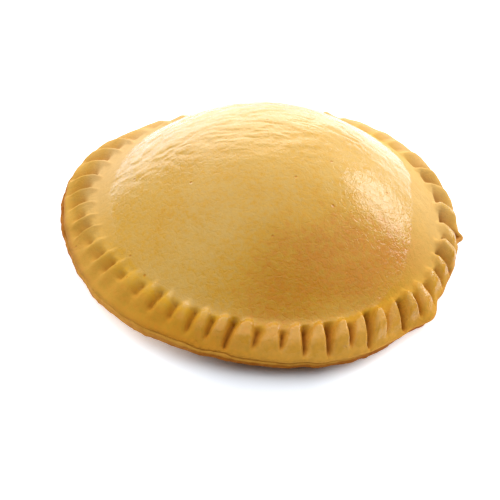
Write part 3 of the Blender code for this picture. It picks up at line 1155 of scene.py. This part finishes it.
@dataclass(frozen=True)
class TopCrust(Crust):
    """The domed lid: solid below down to the seam, with a rounded, crimped edge."""

    gap: float = 0.00008
    baking: Baking = Baking()
    # The dome: its radius and height, the powers that flatten its top and fill its flank, its
    # foot's height over the lid's plane, the hollow round the foot and the bulge of the band.
    dome_radius: float = 0.0600
    dome_rise: float = 0.0303
    dome_flatness: float = 2.12
    dome_power: float = 1.10
    foot_rise: float = 0.0056
    fillet: float = 0.0013
    band_bulge: float = 0.0007
    # The edge: its height, how far in it starts to round over, how full its curve is above and at
    # the side, and where on the band its slope is taken. Its foot is cut under, and flares towards
    # the base crust at the front left.
    edge_height: float = 0.0024
    edge_round: Around = Around(0.0013, (0.0014, 225.0, 70.0))
    edge_fullness: tuple[float, float] = (0.62, 0.45)
    slope_from: float = 0.95
    edge_undercut: float = 0.0003
    edge_bulge: float = 0.0001
    flare: Around = Around(0.0, (1.0, 222.0, 62.0))
    flare_kept: float = 0.4
    # From where on the edge the relief is at its full strength, from the seam (0) to the band (1).
    full_relief: float = 0.85
    # The mesh: rings on the seam as (one column in so many, inset), rings on the edge and on the
    # band, zones of the dome as (one column in so many, first and last share of the foot's
    # radius, rings), and the values of the point at the top.
    seam_insets: tuple[tuple[int, float], ...] = ((4, 0.003), (2, 0.0012))
    edge_rings: int = 12
    band_rings: int = 39
    dome_zones: tuple[tuple[int, float, float, int], ...] = (
        (1, 1.0, 0.90, 12), (2, 0.90, 0.45, 55), (4, 0.45, 0.20, 29), (8, 0.20, 0.02, 19))
    top_values: tuple[tuple[str, float], ...] = (("lumpy", 1.0), ("glaze", 1.0), ("browned", 0.10))

    def dome(self, angle: Array, radius: Array) -> Array:
        """Height of the dome above its foot, with a hollow where it meets the shoulder.

        Args:
            angle: Angles round the pie.
            radius: Distances from its middle.

        Returns:
            The heights.
        """
        stretch = self.rim.foot(angle) / self.rim.foot_radius
        share = 1.0 - (radius / (self.dome_radius * stretch)) ** self.dome_flatness
        lift = self.dome_rise * np.sign(share) * np.abs(share) ** self.dome_power
        return 0.5 * (lift + np.hypot(lift, self.fillet))

    def dome_point(self, angle: Array, part: float) -> tuple[Array, Array]:
        """Radius and height on the dome, at this part of its foot's radius."""
        radius = part * self.rim.foot(angle)
        return radius, self.rim.plane(angle, radius) + self.foot_rise + self.dome(angle, radius)

    def band_point(self, angle: Array, along: float) -> tuple[Array, Array]:
        """Find a point on the sloping band for each angle.

        Args:
            angle: Angles round the pie.
            along: Where on the band, from the foot (0) to the edge (1).

        Returns:
            Radii and heights.
        """
        foot, top = self.dome_point(angle, 1.0)
        radius = foot + along * (self.rim.lid(angle) - self.edge_round.at(angle) - foot)
        low = self.rim.seam(angle) + self.edge_height
        return radius, top + (low - top) * along + self.band_bulge * math.sin(math.pi * along)

    def seam_point(self, angle: Array, inset: float) -> tuple[Array, Array]:
        """Radius and height on the flat rim underneath, this far in from the lid's edge."""
        return self.rim.lid(angle) - inset, self.rim.seam(angle) + self.gap

    def edge_point(self, angle: Array, share: float) -> tuple[Array, Array]:
        """Find a point for each angle on the rounded edge, a curve with four guide points.

        Args:
            angle: Angles round the pie.
            share: Where on the edge, from the seam (0) to the band (1).

        Returns:
            Radii and heights.
        """
        radius, top = self.band_point(angle, 1.0)
        near, before = self.band_point(angle, self.slope_from)
        slope = (before - top) / (radius - near)
        lid, seam = self.seam_point(angle, 0.0)
        above, beside = self.edge_fullness
        reach = above * (lid - radius)
        flare = self.flare.at(angle) * np.maximum(0.0, self.rim.base(angle) - lid)
        guides = ((lid - self.edge_undercut + flare, seam),
                  (lid + self.edge_bulge + self.flare_kept * flare, seam + beside * (top - seam)),
                  (radius + reach, top - slope * reach),
                  (radius, top))
        weights = [math.comb(3, power) * share ** power * (1.0 - share) ** (3 - power)
                   for power in range(4)]
        return (sum(weight * out for weight, (out, _) in zip(weights, guides)),
                sum(weight * up for weight, (_, up) in zip(weights, guides)))

    def values(self, phase: Array, angle: Array, radius: Array, hold: float) -> dict[str, Array]:
        """Point attributes that the relief and the glaze follow.

        Args:
            phase: Crimps passed up to each point.
            angle: Angle of each point.
            radius: Distance of each point from the pie's middle.
            hold: Share of its strength that the relief keeps on this ring.

        Returns:
            The attributes by name.
        """
        foot = self.rim.foot(angle)
        crimped = self.crimps.values(phase, angle, radius - foot, self.rim.lid(angle) - foot, hold)
        return crimped | self.baking.values(angle, radius / foot, hold)

    def build(self, material: bpy.types.Material) -> bpy.types.Object:
        """Build the lid from its underside's middle, over the edge, to the top of the dome.

        Args:
            material: Its finish.

        Returns:
            The lid, with its crimps and its skin pressed in.
        """
        mesh = RingMesh()
        phases, angles = self.crimps.columns(self.per_crimp)
        lean = np.radians(self.crimps.lean.at(angles))

        def add(step: int, along: float, hold: float, curve: Curve) -> None:
            """Add one ring.

            Args:
                step: It takes one column in so many.
                along: How far the ring leans with the grooves, from their inner end (0) to 1.
                hold: Share of its strength that the relief keeps.
                curve: Gives the ring's radii and heights.
            """
            angle = (angles - lean * along)[::step]
            radius, height = curve(angle)
            values = self.values(phases[::step], angle, radius, hold)
            mesh.add_ring(ring(angle, radius, height), **values)

        none = dict.fromkeys(self.values(phases[:1], angles[:1], angles[:1], 0.0), 0.0)
        mesh.add_cap((0.0, 0.0, self.dough + self.gap), **none)
        add(self.coarse, 1.0, 0.0, self.flat_point)
        add(self.coarse, 1.0, 0.0, self.risen_point)
        for step, inset in self.seam_insets:
            add(step, 1.0, 0.0, partial(self.seam_point, inset=inset))
        for share in np.linspace(0.0, 1.0, self.edge_rings):
            hold = float(smooth_step(0.0, self.full_relief, share))
            add(1, 1.0, hold, partial(self.edge_point, share=share))
        for along in np.linspace(1.0, 0.0, self.band_rings + 1)[1:]:
            add(1, along, 1.0, partial(self.band_point, along=along))
        for step, start, end, rings in self.dome_zones:
            for part in np.linspace(start, end, rings + 1)[1:]:
                add(step, 0.0, 1.0, partial(self.dome_point, part=part))
        top = self.dome_point(np.zeros(1), 0.0)[1][0]
        mesh.add_cap((0.0, 0.0, top), **(none | dict(self.top_values)))
        piece = mesh.build("lid_crust")
        crimp_tree(material, self.crimps.count).apply(piece)
        skin_tree(material).apply(piece)
        return piece


@dataclass(frozen=True)
class BaseCrust(Crust):
    """The thin base sheet, flat below and turned up to the seam at its torn edge."""

    gap: float = -0.00008
    # The edge: its height, the least height of its foot, and how far the foot lies inside it. At
    # the front it curls up. The powers shape the sheet below, the edge and its rounded top.
    edge_height: Around = Around(0.0053, (-0.0030, 275.0, 60.0))
    lowest_foot: float = 0.0003
    tuck: Around = Around(0.0022, (-0.00143, 275.0, 60.0))
    rise_power: float = 1.4
    tuck_power: float = 2.2
    top_round: float = 0.0004
    top_power: float = 8.0
    # Browning: below, on the foot and the edge, on top, and its changes round the pie. The edge's
    # browning, stronger towards its foot, and the extra at the left are partly browning and partly
    # painted shade.
    below_tone: float = 0.6
    foot_tone: float = 0.7
    edge_tone: float = 0.95
    edge_tone_span: Span = (0.92, 0.66)
    top_tone: float = 0.1
    tone_share: Around = Around(1.0, (-0.65, 226.0, 38.0))
    left_brown_and_shade: Around = Around(0.0, (0.80, 183.0, 36.0))
    # The rings: shares of the outline on the flat underside, how many rings lie outside it and on
    # the edge, and the inset of the one on the seam.
    flat_shares: tuple[float, ...] = (0.30, 0.60, 0.80)
    under_rings: int = 8
    edge_rings: int = 15
    seam_inset: float = 0.0016

    def floor_point(self, angle: Array, share: float) -> tuple[Array, float]:
        """Radius and height on the flat underside, at this share of the outline."""
        return share * self.rim.outline(angle), 0.0

    def under_point(self, angle: Array, share: float) -> tuple[Array, Array]:
        """Find a point below the sheet for each angle.

        Args:
            angle: Angles round the pie.
            share: Where below it, from its flat (0) to the foot of its edge (1).

        Returns:
            Radii and heights.
        """
        start = self.flat_shares[-1] * self.rim.outline(angle)
        end = self.rim.base(angle) - self.tuck.at(angle)
        foot = np.maximum(self.lowest_foot, self.rim.seam(angle) - self.edge_height.at(angle))
        return start + share * (end - start), share ** self.rise_power * foot

    def edge_point(self, angle: Array, share: float) -> tuple[Array, Array]:
        """Find a point on the torn edge for each angle.

        Args:
            angle: Angles round the pie.
            share: Where on the edge, from its foot (0) to the seam (1).

        Returns:
            Radii and heights.
        """
        low = self.under_point(angle, 1.0)[1]
        edge, top = self.seam_point(angle, 0.0)
        tuck = self.tuck.at(angle) * (1.0 - share) ** self.tuck_power
        return edge - tuck - self.top_round * share ** self.top_power, low + share * (top - low)

    def seam_point(self, angle: Array, inset: float) -> tuple[Array, Array]:
        """Radius and height on the flat rim on top, this far in from the base's edge."""
        return self.rim.base(angle) - inset, self.rim.seam(angle) + self.gap

    def build(self, material: bpy.types.Material) -> bpy.types.Object:
        """Build the sheet from its underside's middle, over the edge, to the seam's middle.

        Args:
            material: Its finish.

        Returns:
            The sheet, with its edge roughened.
        """
        mesh = RingMesh()
        columns = self.crimps.columns(self.per_crimp)[1]

        def add(step: int, torn: float, browned: float, curve: Curve) -> None:
            """Add one ring.

            Args:
                step: It takes one column in so many.
                torn: How rough the ring is, from 0 to 1.
                browned: How far it is browned, from 0 to 1, with painted shade towards the edge's foot.
                curve: Gives the ring's radii and heights.
            """
            angle = columns[::step]
            tone = browned * self.tone_share.at(angle) + self.left_brown_and_shade.at(angle)
            mesh.add_ring(ring(angle, *curve(angle)), torn=torn, browned=tone)

        mesh.add_cap((0.0, 0.0, 0.0), torn=0.0, browned=self.below_tone)
        for share in self.flat_shares:
            add(self.coarse, 0.0, self.below_tone, partial(self.floor_point, share=share))
        for share in np.linspace(0.0, 1.0, self.under_rings + 1)[1:]:
            add(self.fine, share, self.foot_tone, partial(self.under_point, share=share))
        for share in np.linspace(0.0, 1.0, self.edge_rings):
            tone = self.edge_tone * float(smooth_step(*self.edge_tone_span, share))
            add(1, 1.0, tone, partial(self.edge_point, share=share))
        add(self.fine, 0.0, self.top_tone, partial(self.seam_point, inset=self.seam_inset))
        add(self.coarse, 0.0, self.top_tone, self.risen_point)
        add(self.coarse, 0.0, self.top_tone, self.flat_point)
        mesh.add_cap((0.0, 0.0, self.dough + self.gap), torn=0.0, browned=self.top_tone)
        piece = mesh.build("base_sheet")
        tear_tree(material).apply(piece)
        return piece


# ---- The studio ----------------------------------------------------------------------------
@dataclass(frozen=True)
class SoftBox:
    """A studio light, rectangular or oval, that faces the pie.

    Its place is given as seen from the pie: degrees round from straight behind, positive to the
    right, degrees up, and metres away. Its size is in metres and its roll in degrees.
    """

    name: str
    azimuth: float
    elevation: float
    distance: float
    size: tuple[float, float]
    radiance: float
    upright: bool = False
    oval: bool = False
    roll: float = 0.0

    def build(self) -> None:
        """Hang the light, turned towards the pie, or level if it stands upright."""
        data = bpy.data.lights.new(self.name, "AREA")
        data.shape = "ELLIPSE" if self.oval else "RECTANGLE"
        data.size, data.size_y = self.size
        area = self.size[0] * self.size[1] * (math.pi / 4.0 if self.oval else 1.0)
        data.energy = self.radiance * math.pi * area
        around, up = math.radians(self.azimuth), math.radians(self.elevation)
        place = Matrix.Rotation(-around, 4, "Z") @ Matrix.Translation(
            (0.0, self.distance * math.cos(up), self.distance * math.sin(up)))
        tilt = 0.0 if self.upright else up
        turn = Matrix.Rotation(tilt - math.pi / 2.0, 4, "X")
        roll = Matrix.Rotation(-math.radians(self.roll), 4, "Z")
        new_object(self.name, data).matrix_world = place @ turn @ roll


@dataclass(frozen=True)
class Studio:
    """A white floor that glows at both sides of the pie, soft daylight from behind and above, and
    the photograph's camera.
    """

    # The camera: degrees up and turned, metres away, and millimetres for its sensor and lens.
    elevation: float = math.radians(38.1)
    roll: float = math.radians(3.6)
    distance: float = 0.56
    sensor_width: float = 36.0
    lens: float = 115.1
    shift: tuple[float, float] = (-0.0288, -0.0262)
    # The floor: half its side, how strongly it glows, and over which x the glow grows to the left
    # and to the right.
    floor_half: float = 4.0
    floor_colour: str = "EEF3FA"
    floor_roughness: float = 0.9
    glow: float = 0.6
    glow_spans: tuple[Span, Span] = ((-0.002, -0.058), (0.016, 0.054))
    # The ceiling light: where it is brightest, over which part of the sky it grows, and how much.
    sky_direction: tuple[float, float, float] = (0.0, 0.54, 0.84)
    sky_span: Span = (0.1, 1.0)
    sky_strength: Span = (0.05, 1.96)
    white: str = "FFFFFF"
    # The lights: azimuth, elevation, distance, size and radiance.
    boxes: tuple[SoftBox, ...] = (
        SoftBox("back_panel", -16.0, 32.2, 1.2, (1.16, 1.28), 1.72, upright=True),
        SoftBox("right_box", 53.5, 24.0, 1.0, (0.47, 0.39), 6.3, oval=True, roll=43.0),
        SoftBox("left_fill", -120.0, 42.0, 1.2, (1.8, 1.3), 0.40),
        SoftBox("right_fill", 100.0, 34.0, 1.2, (1.3, 1.0), 0.34),
    )

    def build(self, centre: tuple[float, float]) -> None:
        """Set up the floor, the lights, the sky and the camera.

        Args:
            centre: x and y of the pie's middle.
        """
        scene = bpy.context.scene
        self.floor()
        for box in self.boxes:
            box.build()
        scene.world = self.sky()
        scene.view_settings.view_transform = "Standard"
        scene.camera = self.camera(centre)

    def sky(self) -> bpy.types.World:
        """Make the soft ceiling light: brightest overhead and behind, dim at the horizon.

        Returns:
            The world.
        """
        world = bpy.data.worlds.new("soft_ceiling")
        world.use_nodes = True
        tree = world.node_tree
        direction = add_node(tree, "ShaderNodeTexCoord").outputs["Generated"]
        height = add_node(tree, "ShaderNodeVectorMath", {"operation": "DOT_PRODUCT"},
                          {0: direction, 1: self.sky_direction})
        strength = add_node(tree, "ShaderNodeMapRange", {"interpolation_type": "SMOOTHSTEP"},
                            {"Value": height.outputs["Value"], "From Min": self.sky_span[0],
                             "From Max": self.sky_span[1], "To Min": self.sky_strength[0],
                             "To Max": self.sky_strength[1]})
        set_inputs(tree, tree.nodes["Background"], {"Color": colour(self.white),
                                                    "Strength": strength.outputs[0]})
        return world

    def floor(self) -> None:
        """Lay the white floor, which glows but for a stretch down its middle, in front of the pie."""
        data = bpy.data.meshes.new("studio_floor")
        half = self.floor_half
        square = [(-half, -half, 0.0), (half, -half, 0.0), (half, half, 0.0), (-half, half, 0.0)]
        data.from_pydata(square, [], [(0, 1, 2, 3)])
        material, tree, shader = new_material("white_sweep")
        place = add_node(tree, "ShaderNodeTexCoord").outputs["Object"]
        across = add_node(tree, "ShaderNodeSeparateXYZ", {}, {0: place}).outputs["X"]
        left, right = self.glow_spans
        glow = add_steps(tree, {"across": across}, (
            ("left", "SMOOTHSTEP", "across", *left),
            ("right", "SMOOTHSTEP", "across", *right),
            ("both", "ADD", "left", "right"),
            ("strength", "MULTIPLY", "both", self.glow),
        ))
        set_inputs(tree, shader, {"Base Color": colour(self.floor_colour),
                                  "Roughness": self.floor_roughness,
                                  "Emission Color": colour(self.white),
                                  "Emission Strength": glow["strength"]})
        data.materials.append(material)
        floor = new_object("studio_floor", data)

    def camera(self, centre: tuple[float, float]) -> bpy.types.Object:
        """Stand the camera in front of the pie, looking down on it.

        Args:
            centre: x and y of the pie's middle.

        Returns:
            The camera.
        """
        data = bpy.data.cameras.new("camera")
        data.sensor_width = self.sensor_width
        data.lens = self.lens
        data.shift_x, data.shift_y = self.shift
        camera = new_object("camera", data)
        place = (centre[0], centre[1] - self.distance * math.cos(self.elevation),
                 self.distance * math.sin(self.elevation))
        turn = Matrix.Rotation(math.pi / 2.0 - self.elevation, 4, "X")
        camera.matrix_world = Matrix.Translation(place) @ turn @ Matrix.Rotation(self.roll, 4, "Z")
        return camera


# ---- The whole pie -------------------------------------------------------------------------
class ChickenPie:
    """The pie's two crusts, placed where their solids stand."""

    # Steps round the lid's edge in which its furthest points are found.
    outline_steps: int = 7200

    def __init__(self) -> None:
        """Work out from the frame where the middle of the pie's rings is."""
        self.rim = Rim()
        self.crimps = Crimps()
        angle = np.linspace(0.0, math.tau, self.outline_steps, endpoint=False)
        reach = ring(angle, self.rim.lid(angle), 0.0)
        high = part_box("top_crust")[1]
        self.centre = (high.x - float(reach[:, 0].max()), high.y - float(reach[:, 1].max()))

    def build(self) -> None:
        """Build both crusts and report them."""
        pieces = (
            (TopCrust(self.rim, self.crimps), GlazedShortcrust(), "top_crust", "glazed_crust"),
            (BaseCrust(self.rim, self.crimps), BakedShortcrust(), "base_crust", "base_crust"),
        )
        for crust, finish, node, slot in pieces:
            piece = crust.build(finish.build())
            piece.data.transform(Matrix.Translation((*self.centre, 0.0)))
            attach(piece, "root")
            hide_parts(node)
            piece.data.calc_loop_triangles()
            LOG.info("%s: %d triangles", piece.name, len(piece.data.loop_triangles))


def main() -> None:
    """Load the frame, build the pie and its studio, and note both sizes."""
    logging.basicConfig(level=logging.INFO, format="%(name)s: %(message)s")
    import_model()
    pie = ChickenPie()
    pie.build()
    Studio().build(pie.centre)
    LOG.info("pie centre %s", pie.centre)


if __name__ == "__main__":
    main()
